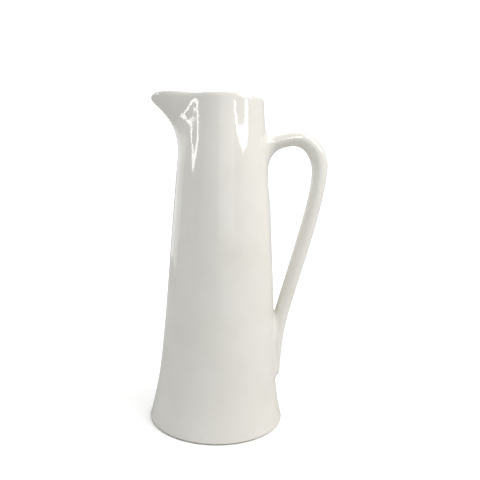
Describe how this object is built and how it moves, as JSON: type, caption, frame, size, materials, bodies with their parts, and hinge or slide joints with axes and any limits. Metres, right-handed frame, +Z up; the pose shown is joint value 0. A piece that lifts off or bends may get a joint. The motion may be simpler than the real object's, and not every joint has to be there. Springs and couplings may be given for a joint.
{
  "type": "ceramic pitcher",
  "caption": "Tall tapering pitcher in white glazed earthenware, with a pulled pouring spout and a slender arched handle.",
  "frame": {"origin": "centre of the flat base, on the surface the pitcher stands on; it is on the axis of the turned wall", "axes": "+Z up along the axis of the wall; -X towards the spout, +X towards the handle; the XZ plane is the plane of symmetry"},
  "size_m": [0.1512, 0.1172, 0.2811],
  "materials": {
    "glazed_earthenware": "glossy warm white glaze",
    "biscuit_clay": "bare biscuit clay underneath, glazed on the inside"
  },
  "bodies": {
    "root": {"body_wall": "glazed_earthenware", "spout": "glazed_earthenware", "handle": "glazed_earthenware", "upper_handle_joint": "glazed_earthenware", "lower_handle_joint": "glazed_earthenware", "base_slab": "biscuit_clay", "corner_coil": "glazed_earthenware"}
  },
  "joints": []
}
